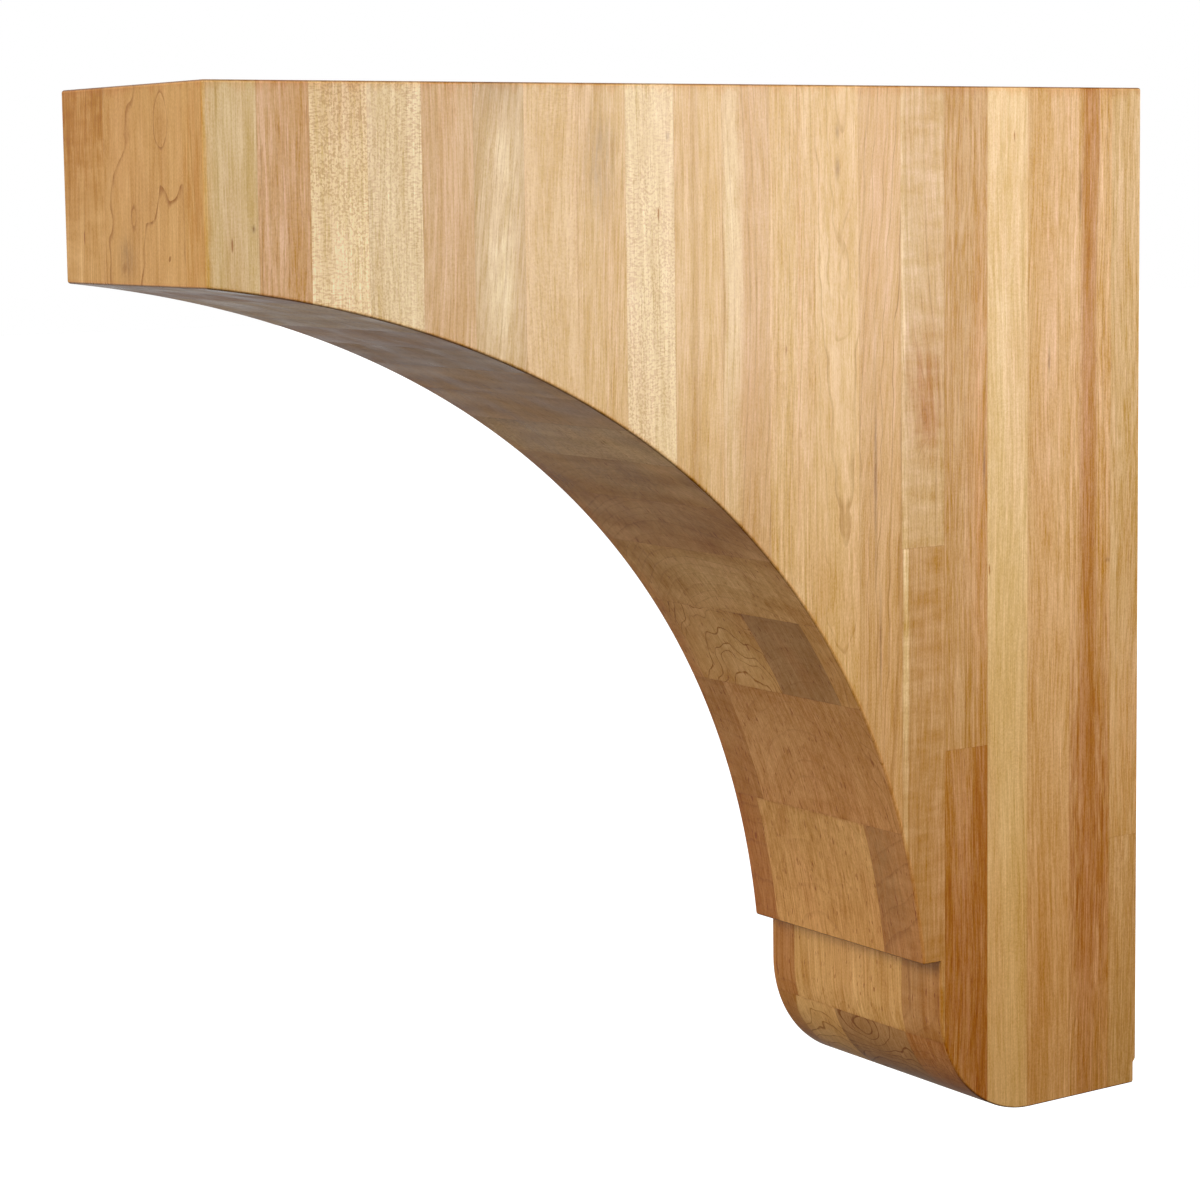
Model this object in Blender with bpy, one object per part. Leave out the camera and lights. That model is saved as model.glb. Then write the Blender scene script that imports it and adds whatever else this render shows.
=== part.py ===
"""Wooden corbel bracket: one glued-up block with an arched underside and a rounded foot.

Metres, +Z up. The origin is the middle of the back face, which stands flat on the wall.
The nose points along -Y, and the width runs along X to both sides of the origin.
"""

import math

import bmesh
import bpy

# Block
WIDTH = 0.127
DEPTH = 0.4855
HEIGHT = 0.4735

# Nose, the upright front face
NOSE_HEIGHT = 0.0792

# Arch, a stretch of an oval that starts at the nose's lower edge.
# A fullness of 2 makes the oval an ellipse, and more makes its shoulder squarer.
ARCH_END_FROM_WALL = 0.1323
ARCH_CREST_AHEAD_OF_NOSE = 0.0935
ARCH_UPRIGHT_BELOW_END = 0.0555
ARCH_FULLNESS = 2.24
ARCH_STEPS = 72

# Foot, set back from the arch's end by a narrow ledge
FOOT_HEIGHT = 0.0774
LEDGE_DEPTH = 0.010
FOOT_RADIUS = 0.055
FOOT_STEPS = 20

# Shallow rebate along the lower edge of the back
REBATE_DEPTH = 0.0015
REBATE_HEIGHT = 0.010

# Rounding sanded onto every outward edge
EDGE_RADIUS = 0.0012
EDGE_SEGMENTS = 2
SHARP_ANGLE = math.radians(30)

# Oiled wood
WOOD_COLOR = (0.60, 0.38, 0.19, 1.0)
WOOD_ROUGHNESS = 0.45


def clear_scene():
    for obj in list(bpy.data.objects):
        bpy.data.objects.remove(obj, do_unlink=True)


def wood_material():
    material = bpy.data.materials.new("corbel_wood")
    material.use_nodes = True
    shader = material.node_tree.nodes["Principled BSDF"]
    shader.inputs["Base Color"].default_value = WOOD_COLOR
    shader.inputs["Roughness"].default_value = WOOD_ROUGHNESS
    shader.inputs["Metallic"].default_value = 0.0
    return material


def oval_angle(y, z, half_y, half_z):
    """The angle at which the oval's curve passes through a point of its upper quarter."""
    power = ARCH_FULLNESS / 2
    return math.atan2((z / half_z) ** power, (y / half_y) ** power)


def arch_points():
    """The arch from the nose's lower edge to its end above the foot, as (y, z)."""
    top = HEIGHT / 2
    bottom = -HEIGHT / 2
    start = (-DEPTH, top - NOSE_HEIGHT)
    end = (-ARCH_END_FROM_WALL, bottom + FOOT_HEIGHT)
    center_y = start[0] - ARCH_CREST_AHEAD_OF_NOSE
    center_z = end[1] - ARCH_UPRIGHT_BELOW_END
    # The oval passes through both ends, which fixes its two half-axes
    start_y = (start[0] - center_y) ** ARCH_FULLNESS
    start_z = (start[1] - center_z) ** ARCH_FULLNESS
    end_y = (end[0] - center_y) ** ARCH_FULLNESS
    end_z = (end[1] - center_z) ** ARCH_FULLNESS
    spread = start_y * end_z - end_y * start_z
    half_y = (spread / (end_z - start_z)) ** (1 / ARCH_FULLNESS)
    half_z = (spread / (start_y - end_y)) ** (1 / ARCH_FULLNESS)
    # The angle runs evenly from end to end, and the fullness shapes how far each point reaches
    first = oval_angle(start[0] - center_y, start[1] - center_z, half_y, half_z)
    last = oval_angle(end[0] - center_y, end[1] - center_z, half_y, half_z)
    points = []
    for step in range(ARCH_STEPS + 1):
        angle = first + (last - first) * step / ARCH_STEPS
        reach = math.cos(angle) ** (2 / ARCH_FULLNESS)
        rise = math.sin(angle) ** (2 / ARCH_FULLNESS)
        points.append((center_y + half_y * reach, center_z + half_z * rise))
    return points


def foot_points():
    """The foot from the ledge's inner corner round to the flat underside, as (y, z)."""
    bottom = -HEIGHT / 2
    front = -(ARCH_END_FROM_WALL - LEDGE_DEPTH)
    center_y = front + FOOT_RADIUS
    center_z = bottom + FOOT_RADIUS
    points = [(front, bottom + FOOT_HEIGHT)]
    for step in range(FOOT_STEPS + 1):
        angle = math.pi + math.pi / 2 * step / FOOT_STEPS
        points.append((center_y + FOOT_RADIUS * math.cos(angle), center_z + FOOT_RADIUS * math.sin(angle)))
    return points


def outline():
    """The side outline as (y, z), from the top's back corner forward and round."""
    top = HEIGHT / 2
    bottom = -HEIGHT / 2
    corners = [(0.0, top), (-DEPTH, top)]
    rebate = [
        (-REBATE_DEPTH, bottom),
        (-REBATE_DEPTH, bottom + REBATE_HEIGHT),
        (0.0, bottom + REBATE_HEIGHT + REBATE_DEPTH),
    ]
    return corners + arch_points() + foot_points() + rebate


def mark_rounded_edges(bm):
    """Gives the outward corners full bevel weight, and leaves inner corners and curves crisp."""
    weight = bm.edges.layers.float.new("bevel_weight_edge")
    for edge in bm.edges:
        if edge.is_convex and edge.calc_face_angle() > SHARP_ANGLE:
            edge[weight] = 1.0


def make_corbel(material):
    bm = bmesh.new()
    side = bm.faces.new([bm.verts.new((-WIDTH / 2, y, z)) for y, z in outline()])
    grown = bmesh.ops.extrude_face_region(bm, geom=[side])["geom"]
    far_points = [item for item in grown if isinstance(item, bmesh.types.BMVert)]
    bmesh.ops.translate(bm, verts=far_points, vec=(WIDTH, 0.0, 0.0))
    bmesh.ops.recalc_face_normals(bm, faces=bm.faces)
    mark_rounded_edges(bm)
    mesh = bpy.data.meshes.new("corbel")
    bm.to_mesh(mesh)
    bm.free()
    mesh.materials.append(material)
    mesh.shade_smooth()
    mesh.set_sharp_from_angle(angle=SHARP_ANGLE)
    corbel = bpy.data.objects.new("corbel", mesh)
    bpy.context.scene.collection.objects.link(corbel)
    bevel = corbel.modifiers.new("eased_edges", "BEVEL")
    bevel.width = EDGE_RADIUS
    bevel.segments = EDGE_SEGMENTS
    bevel.limit_method = "WEIGHT"
    return corbel


def main():
    clear_scene()
    make_corbel(wood_material())


main()
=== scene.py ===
"""Wooden corbel bracket: an oiled maple block glued up from upright staves.

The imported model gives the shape's place. One finer mesh of the same outline stands for it.
It is cut along the glue joints, and each face carries the growth of the board it belongs to.
"""

import math
from typing import NamedTuple

import bmesh
import bpy
from mathutils import Matrix, Vector


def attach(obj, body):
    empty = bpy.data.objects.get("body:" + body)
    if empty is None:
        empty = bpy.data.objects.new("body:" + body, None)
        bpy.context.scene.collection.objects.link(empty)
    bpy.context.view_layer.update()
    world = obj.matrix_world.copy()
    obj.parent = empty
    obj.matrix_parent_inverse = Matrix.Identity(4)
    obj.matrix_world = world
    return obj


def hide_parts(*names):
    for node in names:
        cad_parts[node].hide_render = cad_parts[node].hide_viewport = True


# Millimetres in a metre, and a length in millimetres that reaches past the block on every side
MM_PER_M = 1000.0
BEYOND = 999.0

# Block, in metres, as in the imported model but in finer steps
WIDTH = 0.127
DEPTH = 0.4855
HEIGHT = 0.4735
NOSE_HEIGHT = 0.0792
ARCH_END_FROM_WALL = 0.1323
ARCH_CREST_AHEAD_OF_NOSE = 0.0935
ARCH_UPRIGHT_BELOW_END = 0.0555
ARCH_FULLNESS = 2.24
ARCH_STEPS = 144
FOOT_HEIGHT = 0.0774
LEDGE_DEPTH = 0.010
FOOT_RADIUS = 0.055
FOOT_STEPS = 40
REBATE_DEPTH = 0.0015
REBATE_HEIGHT = 0.010
EDGE_RADIUS = 0.0012
EDGE_SEGMENTS = 4
SHARP_ANGLE = math.radians(30)

# A cut takes points closer than this, in metres, as lying on it
CUT_TOLERANCE = 1e-6

# Camera, in metres, degrees and millimetres
CAMERA_PLACE = (1.12931, -1.02733, 0.19375)
CAMERA_TURN = 55.936
CAMERA_DIP = 6.229
CAMERA_ROLL = -0.775
LENS_MM = 93.376
SENSOR_MM = 36.0
SHIFT_UP = -0.06
NEAREST_SEEN = 0.01

# Floor, in metres
FLOOR_HEIGHT = -1.3
FLOOR_HALF_WIDTH = 30.0
FLOOR_WHITE = (0.9, 0.9, 0.9, 1.0)

# As a direction's x or z runs over the first two numbers, the room's light runs over the last two
ROOM_LIGHT = {"X": (-0.8, 0.5, 0.68, 0.12), "Z": (-0.65, -0.25, 0.2, 1.0)}

# Oiled maple, from sapwood to heartwood
TONES = {
    "ivory": (0.95, 0.67, 0.31),
    "pale": (0.85, 0.59, 0.27),
    "cream": (0.77, 0.50, 0.20),
    "straw": (0.73, 0.435, 0.155),
    "tan": (0.67, 0.375, 0.135),
    "rose": (0.68, 0.35, 0.12),
    "ash": (0.62, 0.365, 0.13),
    "honey": (0.66, 0.34, 0.075),
    "gold": (0.55, 0.245, 0.012),
    "russet": (0.62, 0.28, 0.075),
    "toast": (0.56, 0.29, 0.085),
    "amber": (0.54, 0.26, 0.06),
    "umber": (0.50, 0.29, 0.11),
    "chestnut": (0.46, 0.18, 0.03),
    "brown": (0.30, 0.12, 0.03),
}

# A faint pink blush, the paler tone and painted sheen that light fibres gain, and the darkest that the wood
# can be
BLUSH_TONE = (0.72, 0.36, 0.17, 1.0)
PALE_FIBRE_AND_SHEEN = (0.30, 0.50, 0.55)
DARKEST_WOOD = (0.04, 0.015, 0.004)

# What each trait multiplies the wood's color by, painted glare and painted shade among them
LATE_LINE_TINT = (0.55, 0.36, 0.04)
DARK_GRAIN_TINT = (0.56, 0.31, 0.10)
SOAKED_TINT = (0.88, 0.66, 0.42)
END_GRAIN_TINT = (0.70, 0.59, 0.455)
# Painted glare on the upper sides
PAINTED_GLARE_TINT = (1.09, 1.20, 1.50)
# Painted warm shade towards the foot
PAINTED_WARM_SHADE_TINT = (1.0, 0.89, 0.75)
# Painted shade on the faces turned forward
PAINTED_FRONT_SHADE_TINT = (0.95, 0.88, 0.74)
BURNISHED_TINT = (0.42, 0.30, 0.22)
# Rubbed edges, partly a painted glint
RUBBED_AND_GLINT_TINT = (1.12, 1.12, 1.10)

# How wide each pattern of the grain is along x, y and z, in millimetres
SLOW_SWAY = (70.0, 70.0, 200.0)
QUICK_SWAY = (14.0, 14.0, 80.0)
BURL = (15.0, 15.0, 20.0)
CLOUD = (24.0, 24.0, 110.0)
BLUSH = (13.0, 13.0, 90.0)
STRIPE = (5.0, 5.0, 110.0)
STRAND = (1.5, 1.5, 45.0)
FIBRE = (0.6, 0.6, 16.0)
COMBED_FIBRE = (0.7, 34.0, 34.0)
DASH = (0.75, 0.75, 6.5)
PORE = (0.55, 0.55, 1.1)
PIT = (1.0, 4.5, 4.5)
SPECK_SPACING = (9.0, 9.0, 52.0)
RIPPLE = (26.0, 26.0, 7.0)
END_BAND = (75.0, 8.0, 30.0)
RELIEF = (0.7, 0.7, 14.0)
BAND_FADING = (60.0, 60.0, 80.0)
RAGGED_EDGE = (1.6, 1.6, 12.0)
LINE_BREAK = (3.0, 3.0, 30.0)
RAY_DOT = (0.95, 1.0, 1.0)
RAY_BAR = (2.0, 1.3, 0.75)
RAY_KIND = (12.0, 12.0, 45.0)
RAY_FIELD = (30.0, 30.0, 60.0)
GLUE_BREAK = (3.0, 3.0, 26.0)
TOP_SOAK = (5.0, 5.0, 400.0)
FAR_SOAK = (9.0, 14.0, 14.0)

# How far the grain wanders slowly and quickly, and how far each board's patterns stand from the next's
SLOW_WANDER = 14.0
QUICK_WANDER = 1.6
PATTERN_STEP = (71.3, 37.9, 113.7)

# The share of each ring over which its late line builds up
LATE_SHARE = 0.21

# The distance from the heart, in millimetres, at which a ray's angle is read as a length
RAY_REACH = 90.0

# A length between the two half-axes of the arch's oval, in millimetres
ARCH_REACH = 400.0

# Where the oil soaked in, in millimetres: below the top, beside the arch, and along its far edge
TOP_SOAK_DEPTH = (1.5, 7.0)
ARCH_SOAK_FADES = (0.4, 2.2)
FAR_SOAK_FADES = (-62.0, -50.0)

# Heights, in millimetres, between which a painted glare makes the sides paler, painted warm shade makes the
# wood yellower, and the pits end
PAINTED_GLARE_FROM_TO = (-80.0, 170.0)
PAINTED_WARM_SHADE_FROM_TO = (-20.0, -190.0)
PITS_END_FROM_TO = (130.0, 150.0)

# How far each pattern lightens and darkens the wood, and how much more on streaky boards or end grain
CLOUD_SHADE = 0.16
CLOUD_SHADE_ON_ENDS = 0.30
BAND_SHADE_ON_ENDS = 0.55
STRIPE_SHADE = 0.15
STRAND_SHADE = 0.11
STRAND_SHADE_WITH_STREAKS = 0.15
FIBRE_SHADE = 0.22
FIBRE_SHADE_WITH_STREAKS = 0.17
PORE_SHADE = 0.14
RING_SHADE = 0.11
RIPPLE_SHADE = 0.22

# How much of the dark grain's tint each trait takes
DASH_DEPTH = 0.27
FLECK_DEPTH = 0.75
GLUE_DEPTH = 0.30
SPECK_DEPTH = 0.9
PIT_DEPTH = 0.7

# Thin oil film, and the depth of the grain's relief in metres
OIL_SPECULAR = 0.3
OIL_ROUGHNESS = 0.36
RELIEF_DEPTH = 0.000015


class Board(NamedTuple):
    """One board of a stave. Lengths are millimetres in the block's own frame.

    The tree's heart stands so far across and back from the board's middle, and leans by so many
    millimetres a metre. Rings are ring_width apart round it. Lines, streaks, fleck, curl, wander and
    burl say how strongly each one shows. The band is a streak up the board, given by its middle, half
    its width and its strength. The spans are where the board lies across and up.
    """

    tone: str
    heart: tuple = (0.0, 140.0)
    lean: tuple = (0.0, 0.0)
    ring_width: float = 2.4
    lines: float = 0.35
    streaks: float = 0.5
    fleck: float = 0.15
    curl: float = 0.15
    wander: float = 1.0
    burl: float = 0.0
    band: tuple = (0.0, 1.0, 0.0)
    band_tone: str = "brown"
    x_span: tuple = (-BEYOND, BEYOND)
    z_span: tuple = (-BEYOND, BEYOND)


class Mark(NamedTuple):
    """A knot, a stain or a paler cloud inside one board, in millimetres.

    Its tone fades out over its reach along x, y and z, and the rings swell round it by so much.
    It belongs to the board that holds its place.
    """

    place: tuple
    reach: tuple
    tone: str
    strength: float
    swell: float = 0.0


# Where one stave ends and the next begins, in millimetres from the wall, from the nose back
STAVE_JOINTS = (
    485.5, 462.7, 439.8, 414.1, 389.4, 365.4, 341.3, 316.0, 291.6, 267.0, 242.3,
    217.5, 192.5, 168.4, 144.6, 119.7, 94.2, 69.9, 43.8, 18.5, 0.0,
)  # fmt: skip

# The staves from the nose back to the wall, each with its boards
STAVES = (
    (
        Board(
            "straw", heart=(14.0, 60.0), lean=(30.0, 90.0), ring_width=8.0, lines=1.3, streaks=0.0,
            wander=1.4, burl=6.0, x_span=(-24.3, 46.0),
        ),
        Board("cream", heart=(0.0, 90.0), ring_width=2.6, lines=0.3, streaks=0.3, x_span=(46.0, BEYOND)),
        Board("straw", heart=(-30.0, 60.0), lines=0.3, curl=1.3, streaks=0.6, x_span=(-BEYOND, -24.3)),
    ),
    (Board("rose", ring_width=3.2, lines=0.5, streaks=1.1),),
    (Board("ivory", ring_width=2.8, fleck=0.62, streaks=0.4),),
    (Board("pale", ring_width=3.0, fleck=0.6, streaks=0.4, lean=(0.0, 20.0)),),
    (Board("tan", ring_width=2.2, lines=0.4, streaks=0.8, band=(-378.0, 6.0, 0.4), band_tone="rose"),),
    (Board("ash", ring_width=2.0, lean=(0.0, 110.0), streaks=0.9),),
    (Board("straw", ring_width=3.4, lines=0.25, streaks=0.5, fleck=0.25),),
    (Board("straw", ring_width=2.6, lean=(0.0, 50.0), streaks=0.8),),
    (Board("pale", ring_width=3.0, fleck=0.5, streaks=0.4),),
    (Board("straw", ring_width=2.2, lines=0.4, streaks=0.6, band=(-257.0, 2.6, 0.45), band_tone="amber"),),
    (Board("tan", ring_width=3.4, lines=0.6, streaks=0.4, band=(-237.5, 5.4, 0.9), band_tone="pale"),),
    (Board("straw", ring_width=2.8, lines=0.6, streaks=0.8, band=(-201.3, 0.8, 0.35), band_tone="russet"),),
    (
        Board("tan", ring_width=3.2, lines=0.4, x_span=(-BEYOND, -54.0)),
        Board("straw", heart=(5.5, 30.0), ring_width=4.0, lines=1.7, burl=5.0, x_span=(-54.0, 7.0)),
        Board("umber", heart=(0.0, 60.0), ring_width=3.0, lines=0.4, x_span=(7.0, 50.0)),
        Board(
            "straw", heart=(-14.0, 1.0), lean=(50.0, 10.0), ring_width=4.6, lines=0.6, burl=3.0, streaks=0.4,
            x_span=(50.0, BEYOND),
        ),
    ),
    (
        Board("toast", ring_width=3.2, lines=0.4, x_span=(-BEYOND, -40.0)),
        Board("tan", heart=(0.0, 90.0), ring_width=3.2, lines=0.3, streaks=0.8, x_span=(-40.0, 53.0)),
        Board(
            "tan", heart=(-16.0, 26.0), lean=(20.0, 60.0), ring_width=4.4, lines=0.9, burl=2.0, streaks=0.5,
            x_span=(53.0, BEYOND),
        ),
    ),
    (
        Board("amber", ring_width=2.6, lines=0.5, streaks=0.8, curl=0.5, x_span=(-BEYOND, -45.7)),
        Board("cream", heart=(0.0, 90.0), ring_width=3.4, lines=0.3, streaks=0.9, x_span=(-45.7, 35.6)),
        Board(
            "ash", ring_width=3.4, lines=0.5, curl=1.1, band=(-142.6, 1.7, 0.9), band_tone="pale",
            x_span=(35.6, BEYOND), z_span=(32.0, BEYOND),
        ),
        Board(
            "toast", ring_width=3.4, lines=0.5, curl=1.1, band=(-142.6, 1.7, 0.9), band_tone="pale",
            x_span=(35.6, BEYOND), z_span=(-BEYOND, 32.0),
        ),
    ),
    (
        Board("toast", lines=0.4, streaks=0.6, x_span=(-BEYOND, -51.0)),
        Board("cream", heart=(4.0, 26.0), ring_width=4.2, lines=2.2, burl=5.0, x_span=(-51.0, -18.0)),
        Board("umber", heart=(0.0, 30.0), ring_width=4.8, lines=3.0, burl=4.0, x_span=(-18.0, 35.0)),
        Board(
            "toast", ring_width=2.4, lines=0.5, streaks=1.1, x_span=(35.0, BEYOND), z_span=(-62.0, BEYOND),
        ),
        Board(
            "amber", ring_width=2.4, lines=0.6, streaks=1.3, band=(-98.0, 6.5, 1.0), band_tone="chestnut",
            x_span=(35.0, BEYOND), z_span=(-BEYOND, -62.0),
        ),
    ),
    (Board("cream", ring_width=3.0, lines=0.3, streaks=0.3),),
    (Board("tan", ring_width=2.4, lines=0.35, streaks=0.6),),
    (Board("tan", ring_width=2.4, lines=0.6, streaks=1.2, band=(-32.5, 6.0, 0.85), band_tone="chestnut"),),
    (
        Board("ash", ring_width=2.0, lines=0.4, streaks=0.9, z_span=(-115.0, BEYOND)),
        Board("ash", ring_width=2.0, lines=0.4, streaks=0.9, z_span=(-BEYOND, -115.0)),
    ),
)  # fmt: skip

MARKS = (
    # Nose: a pinker patch, a drop-shaped figure over a wavy one, a small knot, and golden stretches beside
    Mark((-9.0, -485.5, 214.0), (13.0, 3.5, 34.0), "rose", 0.45),
    Mark((27.0, -485.5, 221.0), (8.0, 12.0, 13.0), "amber", 0.20, 13.0),
    Mark((2.0, -485.5, 184.0), (6.0, 12.0, 9.0), "amber", 0.25, 9.0),
    Mark((17.0, -485.5, 190.0), (6.0, 12.0, 8.0), "amber", 0.25, 8.0),
    Mark((-5.0, -485.5, 168.0), (7.0, 8.0, 8.0), "umber", 0.80, 6.0),
    Mark((-50.0, -485.5, 224.0), (60.0, 30.0, 30.0), "gold", 1.00),
    Mark((55.0, -485.5, 190.0), (20.0, 3.5, 60.0), "honey", 0.90),
    # Side, from the nose back to the wall
    Mark((63.5, -465.0, 180.0), (2.0, 0.9, 1.3), "brown", 0.85),
    Mark((63.5, -427.0, 236.0), (20.0, 12.0, 26.0), "russet", 0.40),
    Mark((63.5, -356.0, 238.0), (20.0, 13.0, 16.0), "umber", 0.60),
    Mark((63.5, -352.0, 205.0), (20.0, 8.0, 17.0), "pale", 0.60),
    Mark((63.5, -352.0, 160.0), (20.0, 9.0, 40.0), "pale", 0.85),
    Mark((63.5, -304.0, 205.0), (20.0, 7.0, 24.0), "umber", 0.70),
    Mark((63.5, -270.0, 215.0), (2.0, 0.8, 1.5), "brown", 0.70),
    Mark((63.5, -180.0, 217.0), (3.0, 1.1, 3.0), "brown", 0.75),
    Mark((63.5, -180.0, 201.0), (3.0, 1.1, 4.0), "brown", 0.75),
    Mark((63.5, -131.0, 106.0), (14.0, 12.0, 30.0), "chestnut", 0.75, 5.0),
    Mark((63.5, -129.0, 90.0), (14.0, 6.0, 12.0), "chestnut", 1.00, 9.0),
    Mark((63.5, -107.0, -160.0), (30.0, 18.0, 90.0), "chestnut", 1.00),
    Mark((63.5, -98.0, 60.0), (12.0, 5.0, 90.0), "russet", 0.70),
    Mark((63.5, -82.0, 237.0), (30.0, 18.0, 130.0), "straw", 0.80),
    Mark((63.5, -31.0, -110.0), (30.0, 18.0, 100.0), "chestnut", 1.05),
    Mark((63.5, -20.0, 17.6), (3.0, 1.6, 1.2), "brown", 0.60),
    Mark((63.5, -9.0, -75.0), (30.0, 14.0, 50.0), "tan", 0.90),
    # Short dark streaks
    Mark((63.5, -159.4, 66.0), (3.0, 0.8, 34.0), "brown", 0.80),
    Mark((63.5, -156.8, -11.0), (3.0, 0.6, 20.0), "brown", 0.80),
    Mark((63.5, -96.2, 68.0), (3.0, 0.7, 16.0), "brown", 0.80),
    Mark((63.5, -57.0, 112.0), (3.0, 0.6, 6.0), "brown", 0.80),
    Mark((63.5, -27.0, 214.0), (3.0, 1.1, 22.0), "chestnut", 1.00),
    Mark((63.5, -38.0, 188.0), (3.0, 0.8, 12.0), "brown", 0.80),
    # Where boards meet the arch, some darker and some paler than their sides
    Mark((0.0, -255.0, 67.0), (50.0, 14.0, 16.0), "umber", 0.60),
    Mark((0.0, -230.0, 45.0), (50.0, 14.0, 18.0), "umber", 0.45),
    Mark((0.0, -205.0, 17.0), (50.0, 14.0, 20.0), "pale", 0.60),
    Mark((-15.0, -180.0, -18.0), (30.0, 14.0, 26.0), "pale", 0.60),
    Mark((44.0, -133.0, -110.0), (12.0, 16.0, 110.0), "umber", 1.10),
    # Foot: a nest of ovals
    Mark((4.0, -118.0, -205.0), (20.0, 18.0, 15.0), "umber", 0.30, 22.0),
)

# No board has more marks than this, and no stave more boards
MARKS_PER_BOARD = 5
BOARDS_PER_STAVE = 5

# Where the blank marks are put, so that they show nowhere
NOWHERE = (0.0, 0.0, -9999.0)


def oval_angle(y, z, half_y, half_z):
    """The angle at which the oval's curve passes through a point of its upper quarter."""
    power = ARCH_FULLNESS / 2
    return math.atan2((z / half_z) ** power, (y / half_y) ** power)


def arch_oval():
    """The arch's two ends, and its oval's center and half-axes, as (y, z) pairs."""
    start = (-DEPTH, HEIGHT / 2 - NOSE_HEIGHT)
    end = (-ARCH_END_FROM_WALL, -HEIGHT / 2 + FOOT_HEIGHT)
    center_y = start[0] - ARCH_CREST_AHEAD_OF_NOSE
    center_z = end[1] - ARCH_UPRIGHT_BELOW_END
    start_y = (start[0] - center_y) ** ARCH_FULLNESS
    start_z = (start[1] - center_z) ** ARCH_FULLNESS
    end_y = (end[0] - center_y) ** ARCH_FULLNESS
    end_z = (end[1] - center_z) ** ARCH_FULLNESS
    spread = start_y * end_z - end_y * start_z
    half_y = (spread / (end_z - start_z)) ** (1 / ARCH_FULLNESS)
    half_z = (spread / (start_y - end_y)) ** (1 / ARCH_FULLNESS)
    return start, end, (center_y, center_z), (half_y, half_z)


def arch_points():
    """The arch from the nose's lower edge to its end above the foot, as (y, z)."""
    start, end, (center_y, center_z), (half_y, half_z) = arch_oval()
    first = oval_angle(start[0] - center_y, start[1] - center_z, half_y, half_z)
    last = oval_angle(end[0] - center_y, end[1] - center_z, half_y, half_z)
    points = []
    for step in range(ARCH_STEPS + 1):
        angle = first + (last - first) * step / ARCH_STEPS
        reach = math.cos(angle) ** (2 / ARCH_FULLNESS)
        rise = math.sin(angle) ** (2 / ARCH_FULLNESS)
        points.append((center_y + half_y * reach, center_z + half_z * rise))
    return points


def foot_points():
    """The foot from the ledge's inner corner round to the flat underside, as (y, z)."""
    bottom = -HEIGHT / 2
    front = -(ARCH_END_FROM_WALL - LEDGE_DEPTH)
    center_y = front + FOOT_RADIUS
    center_z = bottom + FOOT_RADIUS
    points = [(front, bottom + FOOT_HEIGHT)]
    for step in range(FOOT_STEPS + 1):
        angle = math.pi + math.pi / 2 * step / FOOT_STEPS
        points.append((center_y + FOOT_RADIUS * math.cos(angle), center_z + FOOT_RADIUS * math.sin(angle)))
    return points


def outline():
    """The side outline as (y, z), from the top's back corner forward and round."""
    top = HEIGHT / 2
    bottom = -HEIGHT / 2
    corners = [(0.0, top), (-DEPTH, top)]
    rebate = [
        (-REBATE_DEPTH, bottom),
        (-REBATE_DEPTH, bottom + REBATE_HEIGHT),
        (0.0, bottom + REBATE_HEIGHT + REBATE_DEPTH),
    ]
    return corners + arch_points() + foot_points() + rebate


def cut(bm, faces, place, normal):
    """Cuts the given faces along a plane, in metres."""
    edges = {edge for face in faces for edge in face.edges}
    verts = {vert for face in faces for vert in face.verts}
    geom = list(faces) + list(edges) + list(verts)
    bmesh.ops.bisect_plane(bm, geom=geom, dist=CUT_TOLERANCE, plane_co=place, plane_no=normal)


def stave_at(y):
    """The number of the stave at a place along the block, counted from the nose."""
    inner = STAVE_JOINTS[1:-1]
    return sum(1 for joint in inner if -y < joint)


def board_at(place):
    """(stave number, board number) at a place in millimetres."""
    x, y, z = place
    number = stave_at(y)
    for index, board in enumerate(STAVES[number]):
        if board.x_span[0] < x < board.x_span[1] and board.z_span[0] < z < board.z_span[1]:
            return number, index
    raise ValueError(f"no board of stave {number} holds {place}")


def board_seed(number, index):
    """A number of its own for each board."""
    return float(number * BOARDS_PER_STAVE + index)


def middle_of(face):
    """The middle of a face, in millimetres."""
    return face.calc_center_median() * MM_PER_M


def cut_into_boards(bm):
    """Cuts every face along the joints between staves and, in each stave, between its boards."""
    for joint in STAVE_JOINTS[1:-1]:
        cut(bm, list(bm.faces), (0.0, -joint / MM_PER_M, 0.0), (0.0, 1.0, 0.0))
    for number, boards in enumerate(STAVES):
        for axis, name in ((0, "x_span"), (2, "z_span")):
            levels = {level for board in boards for level in getattr(board, name) if abs(level) < BEYOND}
            for level in sorted(levels):
                place = Vector()
                normal = Vector()
                place[axis] = level / MM_PER_M
                normal[axis] = 1.0
                cut(bm, [face for face in bm.faces if stave_at(middle_of(face).y) == number], place, normal)


def mark_facts(number, index):
    """The marks of a board, and blank ones to make up their number."""
    marks = [mark for mark in MARKS if board_at(mark.place) == (number, index)]
    if len(marks) > MARKS_PER_BOARD:
        raise ValueError(f"board {index} of stave {number} has too many marks")
    blank = Mark(NOWHERE, (1.0, 1.0, 1.0), "brown", 0.0)
    facts = {}
    for slot in range(MARKS_PER_BOARD):
        mark = marks[slot] if slot < len(marks) else blank
        facts[f"mark_{slot}_place"] = mark.place
        facts[f"mark_{slot}_reach"] = mark.reach
        facts[f"mark_{slot}_tone"] = TONES[mark.tone]
        facts[f"mark_{slot}_might"] = (mark.strength, mark.swell, 0.0)
    return facts


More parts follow.
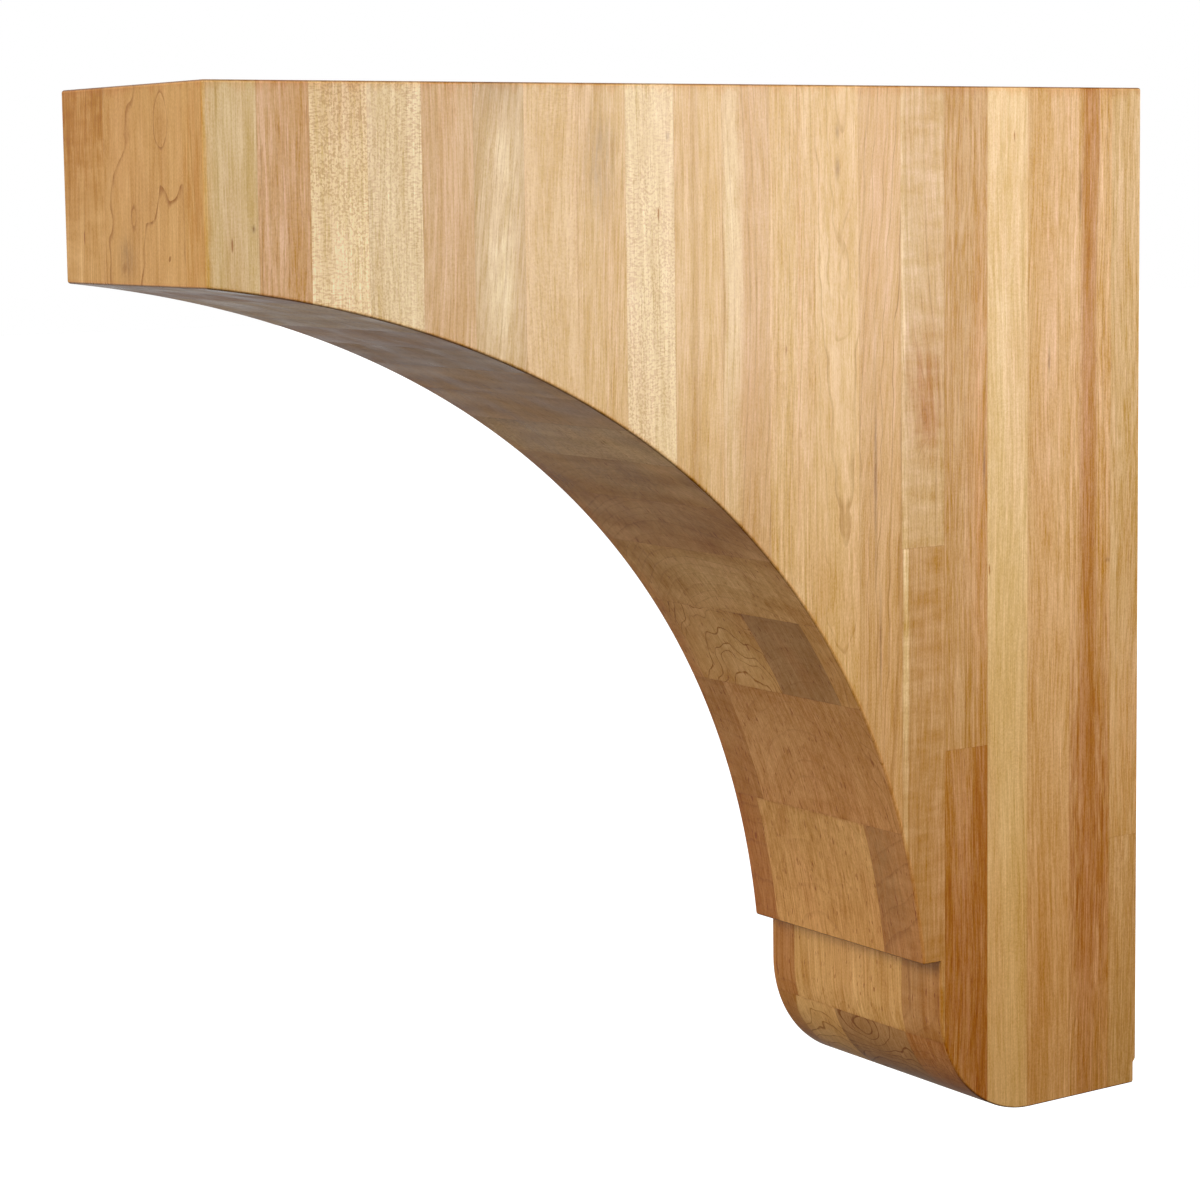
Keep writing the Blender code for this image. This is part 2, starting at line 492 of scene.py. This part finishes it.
def board_facts(number, index):
    """What the wood's nodes read from each face of a board, in millimetres."""
    board = STAVES[number][index]
    front = -STAVE_JOINTS[number]
    back = -STAVE_JOINTS[number + 1]
    # The block's own faces are no joints, so the board is taken to reach far beyond them
    low_y = front if number > 0 else -BEYOND
    high_y = back if number < len(STAVES) - 1 else BEYOND
    half_width = WIDTH / 2 * MM_PER_M
    middle_x = (max(board.x_span[0], -half_width) + min(board.x_span[1], half_width)) / 2
    heart_x = middle_x + board.heart[0]
    heart_y = (front + back) / 2 + board.heart[1]
    return {
        "board_low": (board.x_span[0], low_y, board.z_span[0]),
        "board_high": (board.x_span[1], high_y, board.z_span[1]),
        "heart": (heart_x, heart_y, board.ring_width),
        "lean": (board.lean[0] / MM_PER_M, board.lean[1] / MM_PER_M, board_seed(number, index)),
        "tone": TONES[board.tone],
        "figure": (board.lines, board.streaks, board.fleck),
        "sway": (board.curl, board.wander, board.burl),
        "band": board.band,
        "band_tone": TONES[board.band_tone],
        **mark_facts(number, index),
    }


def rounded_block():
    """The whole corbel before it is cut, with its outward edges rounded and marked as worn."""
    bm = bmesh.new()
    side = bm.faces.new([bm.verts.new((-WIDTH / 2, y, z)) for y, z in outline()])
    grown = bmesh.ops.extrude_face_region(bm, geom=[side])["geom"]
    far_points = [item for item in grown if isinstance(item, bmesh.types.BMVert)]
    bmesh.ops.translate(bm, verts=far_points, vec=(WIDTH, 0.0, 0.0))
    bmesh.ops.recalc_face_normals(bm, faces=bm.faces)
    worn = bm.faces.layers.float.new("worn_edge")
    corners = [edge for edge in bm.edges if edge.is_convex and edge.calc_face_angle() > SHARP_ANGLE]
    rounded = bmesh.ops.bevel(
        bm, geom=corners, offset=EDGE_RADIUS, offset_type="OFFSET", segments=EDGE_SEGMENTS,
        profile=0.5, affect="EDGES", clamp_overlap=True,
    )  # fmt: skip
    for face in rounded["faces"]:
        face[worn] = 1.0
    return bm


def write_facts(mesh, owners):
    """Gives each face the facts of the board that owns it."""
    facts = [board_facts(number, index) for number, index in owners]
    for name in facts[0]:
        layer = mesh.attributes.new(name, "FLOAT_VECTOR", "FACE")
        layer.data.foreach_set("vector", [number for fact in facts for number in fact[name]])


def make_block():
    """The whole corbel as one closed mesh, cut along its glue joints."""
    bm = rounded_block()
    cut_into_boards(bm)
    owners = [board_at(middle_of(face)) for face in bm.faces]
    mesh = bpy.data.meshes.new("corbel_block")
    bm.to_mesh(mesh)
    bm.free()
    write_facts(mesh, owners)
    mesh.shade_smooth()
    mesh.set_sharp_from_angle(angle=SHARP_ANGLE)
    block = bpy.data.objects.new("corbel_block", mesh)
    bpy.context.scene.collection.objects.link(block)
    flats = block.modifiers.new("flat_faces", "WEIGHTED_NORMAL")
    flats.keep_sharp = True
    flats.weight = 100
    return block


class Wood:
    """Short names for the nodes of one material. Each call adds a node and gives its output."""

    def __init__(self, name):
        self.material = bpy.data.materials.new(name)
        self.material.use_nodes = True
        self.tree = self.material.node_tree
        self.shader = self.tree.nodes["Principled BSDF"]

    def put(self, socket, value):
        if isinstance(value, bpy.types.NodeSocket):
            self.tree.links.new(value, socket)
        elif value is not None:
            socket.default_value = value

    def node(self, kind, **settings):
        made = self.tree.nodes.new(kind)
        for name, value in settings.items():
            setattr(made, name, value)
        return made

    def math(self, operation, first, second=None, third=None):
        made = self.node("ShaderNodeMath", operation=operation)
        for socket, value in zip(made.inputs, (first, second, third)):
            self.put(socket, value)
        return made.outputs[0]

    def times(self, *values):
        result = values[0]
        for value in values[1:]:
            result = self.math("MULTIPLY", result, value)
        return result

    def plus(self, *values):
        result = values[0]
        for value in values[1:]:
            result = self.math("ADD", result, value)
        return result

    def minus(self, first, second):
        return self.math("SUBTRACT", first, second)

    def vector(self, operation, first, second=None, scale=None):
        made = self.node("ShaderNodeVectorMath", operation=operation)
        for socket, value in zip(made.inputs, (first, second, None, scale)):
            self.put(socket, value)
        return made.outputs[1 if operation == "LENGTH" else 0]

    def fact(self, name):
        return self.node("ShaderNodeAttribute", attribute_name=name).outputs["Vector"]

    def split(self, vector):
        made = self.node("ShaderNodeSeparateXYZ")
        self.put(made.inputs[0], vector)
        return made.outputs[0], made.outputs[1], made.outputs[2]

    def join(self, x, y, z):
        made = self.node("ShaderNodeCombineXYZ")
        for socket, value in zip(made.inputs, (x, y, z)):
            self.put(socket, value)
        return made.outputs[0]

    def noise(self, place, cells, detail=1.0, roughness=0.5, output="Fac"):
        """Noise whose cells are so many millimetres in x, y and z, from 0 to 1."""
        made = self.node("ShaderNodeTexNoise")
        self.put(made.inputs["Vector"], self.vector("DIVIDE", place, cells))
        made.inputs["Scale"].default_value = 1.0
        made.inputs["Detail"].default_value = detail
        made.inputs["Roughness"].default_value = roughness
        return made.outputs[output]

    def swing(self, place, cells, detail=1.0, roughness=0.5):
        """The same noise, turned to run from -1 to 1."""
        return self.math("MULTIPLY_ADD", self.noise(place, cells, detail, roughness), 2.0, -1.0)

    def span(self, value, low, high, to_low=0.0, to_high=1.0, smooth=True):
        """The value from low to high, turned to run from to_low to to_high and held there beyond."""
        made = self.node("ShaderNodeMapRange", interpolation_type="SMOOTHSTEP" if smooth else "LINEAR")
        for name, item in zip(("From Min", "From Max", "To Min", "To Max"), (low, high, to_low, to_high)):
            self.put(made.inputs[name], item)
        self.put(made.inputs["Value"], value)
        return made.outputs[0]

    def mix(self, factor, first, second, blend="MIX"):
        """Mixes two colors. The node's color sockets come after its number and vector ones."""
        made = self.node("ShaderNodeMix", data_type="RGBA", blend_type=blend)
        self.put(made.inputs["Factor"], factor)
        self.put(made.inputs[6], first)
        self.put(made.inputs[7], second)
        return made.outputs[2]

    def tint(self, factor, color, by):
        """The color multiplied by another, as far as the factor goes."""
        return self.mix(factor, color, (*by, 1.0), "MULTIPLY")


class Facts:
    """What the nodes know of a point: its place, how its face is turned, and the facts of its board."""

    def __init__(self, wood):
        coordinates = wood.node("ShaderNodeTexCoord")
        self.place = wood.vector("SCALE", coordinates.outputs["Object"], scale=MM_PER_M)
        self.x, self.y, self.z = wood.split(self.place)
        # How far the face is off the two sides, an end of the fibres, level, and turned forward, where shade
        # is painted
        facing_side, facing_back, facing_up = wood.split(coordinates.outputs["Normal"])
        self.off_side = wood.span(wood.math("ABSOLUTE", facing_side), 0.2, 0.6, 1.0, 0.0)
        self.on_side = wood.minus(1.0, self.off_side)
        self.end_grain = wood.times(facing_up, facing_up)
        self.turned_level = wood.span(wood.math("ABSOLUTE", facing_up), 0.35, 0.75)
        forward = wood.math("MAXIMUM", wood.times(facing_back, -1.0), 0.0)
        self.painted_front_shade = wood.times(forward, forward)
        self.heart_x, self.heart_y, self.ring_width = wood.split(wood.fact("heart"))
        self.lean_x, self.lean_y, self.seed = wood.split(wood.fact("lean"))
        self.lines, self.streaks, self.fleck = wood.split(wood.fact("figure"))
        self.curl, self.wander, self.burl = wood.split(wood.fact("sway"))
        self.band_middle, self.band_half, self.band_strength = wood.split(wood.fact("band"))
        self.edge = wood.split(wood.fact("worn_edge"))[0]
        # Each board has its own stretch of noise, and its grain wanders a little as it climbs
        shift = wood.vector("SCALE", PATTERN_STEP, scale=self.seed)
        self.own = wood.vector("ADD", self.place, shift)
        slow = wood.noise(self.own, SLOW_SWAY, detail=0.0, output="Color")
        quick = wood.noise(self.own, QUICK_SWAY, output="Color")
        # Half-way up the noise is no wander at all
        still = (0.5, 0.5, 0.5)
        slow = wood.vector("SCALE", wood.vector("SUBTRACT", slow, still), scale=SLOW_WANDER)
        quick = wood.vector("SCALE", wood.vector("SUBTRACT", quick, still), scale=QUICK_WANDER)
        sway = wood.vector("SCALE", wood.vector("ADD", slow, quick), scale=self.wander)
        sway_x, self.sway_y, _ = wood.split(sway)
        self.grain_x = wood.plus(self.x, sway_x, wood.times(self.lean_x, self.z, -1.0))
        self.grain_y = wood.plus(self.y, self.sway_y, wood.times(self.lean_y, self.z, -1.0))
        self.along = wood.vector("ADD", wood.join(self.grain_x, self.grain_y, self.z), shift)


class Grain:
    """Patterns of the grain that more than one function reads."""

    def __init__(self, wood, facts):
        self.cloud = wood.swing(facts.along, CLOUD, detail=2.0)
        self.strand = wood.swing(facts.along, STRAND)
        self.dash = wood.span(wood.noise(facts.along, DASH), 0.60, 0.74)
        # Fibres run up the sides and are combed back from the faces that cross them
        fibre = wood.swing(facts.along, FIBRE, detail=2.0, roughness=0.65)
        combed = wood.swing(facts.along, COMBED_FIBRE, detail=2.0, roughness=0.6)
        self.fibre = wood.plus(fibre, wood.times(facts.off_side, wood.minus(combed, fibre)))


def board_color(wood, facts, grain):
    """The board's tone, and on the sides its streak of heartwood or sapwood."""
    away = wood.plus(facts.y, wood.times(facts.sway_y, 0.35), wood.times(facts.band_middle, -1.0))
    away = wood.math("DIVIDE", wood.math("ABSOLUTE", away), facts.band_half)
    away = wood.plus(away, wood.times(grain.strand, -0.45))
    fading = wood.span(wood.noise(facts.own, BAND_FADING, detail=0.0), 0.36, 0.60, 0.45, 1.0)
    streak = wood.times(wood.span(away, 0.45, 1.2, 1.0, 0.0), facts.band_strength, fading, facts.on_side)
    return wood.mix(streak, wood.fact("tone"), wood.fact("band_tone"))


def add_marks(wood, facts, color):
    """The color with the marks in it, and how far they push the rings outward."""
    swell = 0.0
    ragged = wood.span(wood.noise(facts.along, RAGGED_EDGE, detail=2.0), 0.3, 0.7, 0.55, 1.35)
    for slot in range(MARKS_PER_BOARD):
        away = wood.vector("SUBTRACT", facts.place, wood.fact(f"mark_{slot}_place"))
        distance = wood.vector("LENGTH", wood.vector("DIVIDE", away, wood.fact(f"mark_{slot}_reach")))
        near = wood.math("EXPONENT", wood.times(distance, distance, -1.0))
        strength, own_swell, _ = wood.split(wood.fact(f"mark_{slot}_might"))
        shown = wood.math("MINIMUM", wood.times(near, ragged, strength), 1.0)
        color = wood.mix(shown, color, wood.fact(f"mark_{slot}_tone"))
        swell = wood.plus(swell, wood.times(near, own_swell))
    return color, swell


def growth_rings(wood, facts, swell):
    """Thin late lines, a shade of its own for each ring, and the place out from the heart and round it."""
    ring_x = wood.minus(facts.grain_x, facts.heart_x)
    ring_y = wood.minus(facts.grain_y, facts.heart_y)
    out = wood.math("SQRT", wood.plus(wood.times(ring_x, ring_x), wood.times(ring_y, ring_y)))
    out = wood.plus(out, swell, wood.times(wood.swing(facts.own, BURL), facts.burl))
    turn = wood.math("ARCTAN2", ring_x, ring_y)
    ring = wood.math("DIVIDE", out, facts.ring_width)
    # Some years are wider than others
    uneven = wood.swing(wood.join(wood.times(ring, 3.1), facts.seed, 0.0), (9.0, 1.0, 1.0), detail=2.0)
    ring = wood.plus(ring, wood.times(uneven, 1.8))
    inside = wood.math("FRACT", ring)
    to_next = wood.times(wood.minus(1.0, inside), facts.ring_width)
    late_width = wood.times(facts.ring_width, LATE_SHARE)
    late = wood.times(wood.span(to_next, 0.0, 0.12), wood.span(to_next, 0.14, late_width, 1.0, 0.0))
    random = wood.node("ShaderNodeTexWhiteNoise", noise_dimensions="1D")
    wood.put(random.inputs["W"], wood.plus(wood.math("FLOOR", ring), wood.times(facts.seed, 13.0)))
    own = random.outputs["Value"]
    broken = wood.span(wood.noise(facts.along, LINE_BREAK), 0.35, 0.6, 0.45, 1.0)
    # The pith is too small to show a late line
    line = wood.times(late, facts.lines, broken, wood.span(out, 1.5, 5.0))
    line = wood.times(line, wood.span(own, 0.0, 1.0, 0.3, 1.0, smooth=False))
    shade = wood.times(wood.minus(own, 0.5), wood.span(inside, 0.0, 0.5))
    return line, shade, out, turn


def ray_fleck(wood, facts, out, turn):
    """Rays show as dots and short bars where a face runs towards the heart."""
    place = wood.join(out, wood.times(turn, RAY_REACH), wood.plus(facts.z, wood.times(facts.seed, 31.0)))
    dots = wood.span(wood.noise(place, RAY_DOT), 0.46, 0.59)
    bars = wood.span(wood.noise(place, RAY_BAR), 0.47, 0.59)
    kind = wood.span(wood.noise(facts.own, RAY_KIND, detail=0.0), 0.50, 0.62)
    fleck = wood.plus(wood.times(dots, wood.minus(1.0, kind)), wood.times(bars, kind))
    field = wood.span(wood.noise(facts.own, RAY_FIELD, detail=0.0), 0.35, 0.6, 0.6, 1.0)
    return wood.times(fleck, facts.fleck, field)


def glue_lines(wood, facts):
    """Strong at the board's own bounds and gone within half a millimetre."""
    below = wood.vector("SUBTRACT", facts.place, wood.fact("board_low"))
    above = wood.vector("SUBTRACT", wood.fact("board_high"), facts.place)
    gap_x, gap_y, gap_z = wood.split(wood.vector("MINIMUM", below, above))
    gap = wood.math("MINIMUM", wood.math("MINIMUM", gap_x, gap_y), gap_z)
    broken = wood.span(wood.noise(facts.own, GLUE_BREAK), 0.35, 0.62, 0.1, 1.0)
    return wood.times(wood.span(gap, 0.05, 0.38, 1.0, 0.0), broken)


def distance_from_arch(wood, facts):
    """About how far a point stands from the arch's surface, in millimetres."""
    _, _, (center_y, center_z), (half_y, half_z) = arch_oval()
    oval_y = wood.math("DIVIDE", wood.minus(facts.y, center_y * MM_PER_M), half_y * MM_PER_M)
    oval_z = wood.math("DIVIDE", wood.minus(facts.z, center_z * MM_PER_M), half_z * MM_PER_M)
    sides = [wood.math("MAXIMUM", value, 0.0) for value in (oval_y, oval_z)]
    powers = [wood.math("POWER", side, ARCH_FULLNESS) for side in sides]
    oval = wood.math("POWER", wood.plus(*powers), 1 / ARCH_FULLNESS)
    return wood.times(wood.math("ABSOLUTE", wood.minus(oval, 1.0)), ARCH_REACH)


def oil_soak(wood, facts):
    """Where the oil went deeper: the last millimetres under the top and beside the arch."""
    from_top = wood.minus(HEIGHT / 2 * MM_PER_M, facts.z)
    depth = wood.span(wood.noise(facts.own, TOP_SOAK, detail=2.0), 0.3, 0.7, *TOP_SOAK_DEPTH)
    at_top = wood.span(wood.math("DIVIDE", from_top, depth), 0.2, 1.0, 1.0, 0.0)
    from_arch = distance_from_arch(wood, facts)
    at_arch = wood.span(from_arch, *ARCH_SOAK_FADES, 1.0, 0.0)
    side = wood.math("MAXIMUM", wood.times(at_top, 0.5), wood.times(at_arch, 0.45))
    side = wood.times(side, wood.minus(1.0, facts.end_grain))
    # The arch's far edge took more than the near one
    uneven = wood.times(wood.swing(facts.own, FAR_SOAK, detail=2.0), 9.0)
    far = wood.span(wood.plus(facts.x, uneven), *FAR_SOAK_FADES, 1.0, 0.0)
    far = wood.times(far, wood.span(from_arch, 0.6, 1.0, 1.0, 0.0), 0.8)
    return wood.math("MAXIMUM", side, far)


def mineral_specks(wood, facts):
    """Small mineral marks in a few places, longer than wide."""
    specks = wood.node("ShaderNodeTexVoronoi", feature="F1")
    wood.put(specks.inputs["Vector"], wood.vector("DIVIDE", facts.own, SPECK_SPACING))
    specks.inputs["Scale"].default_value = 1.0
    rare = wood.span(wood.split(specks.outputs["Color"])[0], 0.76, 0.78)
    return wood.times(wood.span(specks.outputs["Distance"], 0.03, 0.07, 1.0, 0.0), rare)


def end_pits(wood, facts):
    """Small pits in the faces that cross the fibres, from the arch down."""
    pit = wood.span(wood.noise(facts.own, PIT, detail=0.0), 0.72, 0.80)
    return wood.times(pit, facts.off_side, wood.span(facts.z, *PITS_END_FROM_TO, 1.0, 0.0))


def shade_color(wood, facts, grain, color, ring_shade):
    """The color with a faint blush, lightened and darkened by the grain, with painted sheen on light fibres.
    """
    blush = wood.span(wood.noise(facts.along, BLUSH), 0.4, 0.75)
    color = wood.mix(wood.times(blush, 0.15), color, BLUSH_TONE)
    on_ends = facts.end_grain
    cloud_shade = wood.plus(wood.times(on_ends, CLOUD_SHADE_ON_ENDS), CLOUD_SHADE)
    strand_shade = wood.plus(wood.times(facts.streaks, STRAND_SHADE_WITH_STREAKS), STRAND_SHADE)
    fibre_shade = wood.plus(wood.times(facts.streaks, FIBRE_SHADE_WITH_STREAKS), FIBRE_SHADE)
    ripple = wood.swing(facts.own, RIPPLE, detail=2.0, roughness=0.6)
    shade = wood.plus(
        wood.times(grain.cloud, cloud_shade),
        wood.times(wood.swing(facts.own, END_BAND), on_ends, BAND_SHADE_ON_ENDS),
        wood.times(wood.swing(facts.along, STRIPE), STRIPE_SHADE),
        wood.times(grain.strand, strand_shade, wood.minus(1.0, wood.times(on_ends, 0.6))),
        wood.times(grain.fibre, fibre_shade),
        wood.times(wood.swing(facts.own, PORE), PORE_SHADE),
        wood.times(ring_shade, RING_SHADE),
        wood.times(ripple, facts.curl, RIPPLE_SHADE),
    )
    # Light fibres are paler as well as lighter, partly in their tone and partly by a painted sheen
    paler_and_sheen = wood.vector("SCALE", PALE_FIBRE_AND_SHEEN, scale=wood.split(color)[0])
    paler_and_sheen = wood.vector("ADD", paler_and_sheen, wood.vector("SCALE", color, scale=0.6))
    color = wood.vector("ADD", color, wood.vector("SCALE", paler_and_sheen, scale=shade))
    return wood.vector("MAXIMUM", color, DARKEST_WOOD)


def add_dark_grain(wood, facts, grain, color, line, fleck):
    """The color with its late lines, dashes, ray fleck, glue lines, mineral marks and pits."""
    color = wood.tint(wood.math("MINIMUM", line, 1.0), color, LATE_LINE_TINT)
    depth = wood.plus(
        wood.times(grain.dash, facts.streaks, DASH_DEPTH),
        wood.times(fleck, FLECK_DEPTH),
        wood.times(glue_lines(wood, facts), GLUE_DEPTH),
        wood.times(mineral_specks(wood, facts), SPECK_DEPTH),
        wood.times(end_pits(wood, facts), PIT_DEPTH),
    )
    return wood.tint(wood.math("MINIMUM", depth, 1.0), color, DARK_GRAIN_TINT)


def aged_color_and_painted_light(wood, facts, color):
    """The color as oil and hands changed it, with painted glare, painted shade and a painted glint."""
    color = wood.tint(oil_soak(wood, facts), color, SOAKED_TINT)
    color = wood.tint(facts.end_grain, color, END_GRAIN_TINT)
    # A painted glare makes the sides paler towards the top
    high = wood.times(wood.span(facts.z, *PAINTED_GLARE_FROM_TO), facts.on_side)
    color = wood.tint(high, color, PAINTED_GLARE_TINT)
    # Painted warm shade makes all faces darker and yellower towards the foot
    color = wood.tint(wood.span(facts.z, *PAINTED_WARM_SHADE_FROM_TO), color, PAINTED_WARM_SHADE_TINT)
    # Painted shade makes the faces turned forward darker and warmer
    color = wood.tint(facts.painted_front_shade, color, PAINTED_FRONT_SHADE_TINT)
    # Handled edges: burnished dark where they turn into end grain; elsewhere paler, partly rubbed and partly
    # a painted glint
    burnished = wood.times(facts.edge, facts.turned_level, 0.75)
    rubbed_and_glint = wood.times(facts.edge, wood.minus(1.0, facts.turned_level))
    return wood.tint(rubbed_and_glint, wood.tint(burnished, color, BURNISHED_TINT), RUBBED_AND_GLINT_TINT)


def add_sheen(wood, facts, grain):
    """Sheen of the oil, broken up by the grain."""
    wood.shader.inputs["Specular IOR Level"].default_value = OIL_SPECULAR
    rough = wood.plus(
        OIL_ROUGHNESS,
        wood.times(grain.fibre, 0.08),
        wood.times(grain.cloud, 0.06),
        wood.times(facts.edge, -0.05),
        wood.times(grain.dash, 0.08),
        wood.times(facts.end_grain, grain.cloud, 0.20),
    )
    wood.put(wood.shader.inputs["Roughness"], rough)


def add_relief(wood, facts):
    """Relief of about a hundredth of a millimetre, along the fibres."""
    bump = wood.node("ShaderNodeBump")
    bump.inputs["Strength"].default_value = 1.0
    bump.inputs["Distance"].default_value = RELIEF_DEPTH
    wood.put(bump.inputs["Height"], wood.noise(facts.own, RELIEF))
    wood.put(wood.shader.inputs["Normal"], bump.outputs["Normal"])


def maple():
    """Oiled maple. Its grain follows the facts that each face carries."""
    wood = Wood("oiled_maple")
    facts = Facts(wood)
    grain = Grain(wood, facts)
    color, swell = add_marks(wood, facts, board_color(wood, facts, grain))
    line, ring_shade, out, turn = growth_rings(wood, facts, swell)
    fleck = ray_fleck(wood, facts, out, turn)
    color = shade_color(wood, facts, grain, color, ring_shade)
    color = add_dark_grain(wood, facts, grain, color, line, fleck)
    wood.put(wood.shader.inputs["Base Color"], aged_color_and_painted_light(wood, facts, color))
    add_sheen(wood, facts, grain)
    add_relief(wood, facts)
    return wood.material


def stage_material():
    """Plain white, bright enough to stay white under the soft light."""
    material = bpy.data.materials.new("white_floor")
    material.use_nodes = True
    shader = material.node_tree.nodes["Principled BSDF"]
    shader.inputs["Base Color"].default_value = FLOOR_WHITE
    shader.inputs["Roughness"].default_value = 0.9
    shader.inputs["Emission Color"].default_value = (1.0, 1.0, 1.0, 1.0)
    shader.inputs["Emission Strength"].default_value = 1.0
    return material


def make_floor():
    """A wide floor far below, since the corbel hangs on a wall."""
    bm = bmesh.new()
    bmesh.ops.create_grid(bm, x_segments=1, y_segments=1, size=FLOOR_HALF_WIDTH)
    mesh = bpy.data.meshes.new("floor")
    bm.to_mesh(mesh)
    bm.free()
    mesh.materials.append(stage_material())
    floor = bpy.data.objects.new("floor", mesh)
    floor.location = (0.0, 0.0, FLOOR_HEIGHT)
    floor.visible_diffuse = False
    floor.visible_glossy = False
    bpy.context.scene.collection.objects.link(floor)


def make_camera():
    """Looks at the nose and the +X side, a little downward."""
    scene = bpy.context.scene
    camera = bpy.data.objects.new("camera", bpy.data.cameras.new("camera"))
    camera.data.lens = LENS_MM
    camera.data.sensor_width = SENSOR_MM
    camera.data.shift_y = SHIFT_UP
    camera.data.clip_start = NEAREST_SEEN
    turn = Matrix.Rotation(math.radians(CAMERA_TURN), 4, "Z")
    dip = Matrix.Rotation(math.radians(90 - CAMERA_DIP), 4, "X")
    roll = Matrix.Rotation(math.radians(CAMERA_ROLL), 4, "Z")
    camera.matrix_world = Matrix.Translation(CAMERA_PLACE) @ turn @ dip @ roll
    scene.collection.objects.link(camera)
    scene.camera = camera


def add_light(name, place, target, size, watts, color, spread=180.0, glossy=True):
    """A square lamp turned towards its target. A lamp that isn't glossy leaves no glint."""
    data = bpy.data.lights.new(name, "AREA")
    data.shape = "SQUARE"
    data.size = size
    data.energy = watts
    data.color = color
    data.spread = math.radians(spread)
    light = bpy.data.objects.new(name, data)
    light.location = place
    light.rotation_euler = (Vector(target) - Vector(place)).to_track_quat("-Z", "Y").to_euler()
    light.visible_glossy = glossy
    bpy.context.scene.collection.objects.link(light)


def make_lights():
    """A low window beside the wall, a big lamp in front, and two soft ones that leave no glint."""
    add_light(
        "window", place=(0.80, 0.24, 0.23), target=(0.06, -0.27, 0.18), size=0.42, watts=2.5,
        color=(1.0, 0.98, 0.95), spread=125.0,
    )  # fmt: skip
    add_light(
        "front", place=(0.35, -2.1, 1.1), target=(0.0, -0.25, 0.05), size=1.0, watts=20.0,
        color=(1.0, 0.94, 0.82),
    )  # fmt: skip
    add_light(
        "fill", place=(1.3, -0.2, 1.3), target=(0.0, -0.25, 0.1), size=0.8, watts=8.0,
        color=(1.0, 1.0, 0.97), glossy=False,
    )  # fmt: skip
    add_light(
        "bounce", place=(-0.7, -1.5, -0.9), target=(0.0, -0.25, 0.0), size=1.4, watts=6.0,
        color=(1.0, 0.90, 0.78), glossy=False,
    )  # fmt: skip


def make_world():
    """A room bright past the far side of the corbel and dim on the window's side and near the ground."""
    world = bpy.data.worlds.new("studio")
    world.use_nodes = True
    tree = world.node_tree
    glow = tree.nodes["Background"]
    glow.inputs["Color"].default_value = (1.0, 1.0, 1.0, 1.0)
    direction = tree.nodes.new("ShaderNodeTexCoord")
    split = tree.nodes.new("ShaderNodeSeparateXYZ")
    tree.links.new(direction.outputs["Generated"], split.inputs[0])
    room = tree.nodes.new("ShaderNodeMath")
    room.operation = "MULTIPLY"
    for index, (axis, span) in enumerate(ROOM_LIGHT.items()):
        side = tree.nodes.new("ShaderNodeMapRange")
        for name, value in zip(("From Min", "From Max", "To Min", "To Max"), span):
            side.inputs[name].default_value = value
        tree.links.new(split.outputs[axis], side.inputs["Value"])
        tree.links.new(side.outputs[0], room.inputs[index])
    # The backdrop itself is seen white
    rays = tree.nodes.new("ShaderNodeLightPath")
    strength = tree.nodes.new("ShaderNodeMath")
    strength.operation = "MAXIMUM"
    tree.links.new(rays.outputs["Is Camera Ray"], strength.inputs[0])
    tree.links.new(room.outputs[0], strength.inputs[1])
    tree.links.new(strength.outputs[0], glow.inputs["Strength"])
    bpy.context.scene.world = world


def set_view():
    """Shows the colors as they are, with no look of a film."""
    bpy.context.scene.view_settings.view_transform = "Standard"
    bpy.context.scene.view_settings.look = "None"


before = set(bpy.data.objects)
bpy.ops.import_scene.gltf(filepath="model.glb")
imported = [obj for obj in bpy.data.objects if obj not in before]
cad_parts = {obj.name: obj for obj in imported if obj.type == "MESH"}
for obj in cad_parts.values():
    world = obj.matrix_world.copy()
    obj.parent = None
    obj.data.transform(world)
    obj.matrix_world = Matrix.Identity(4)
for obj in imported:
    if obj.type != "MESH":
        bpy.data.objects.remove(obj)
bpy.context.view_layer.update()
make_camera()
block = make_block()
block.data.materials.append(maple())
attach(block, "root")
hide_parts("corbel")
make_floor()
make_lights()
make_world()
set_view()
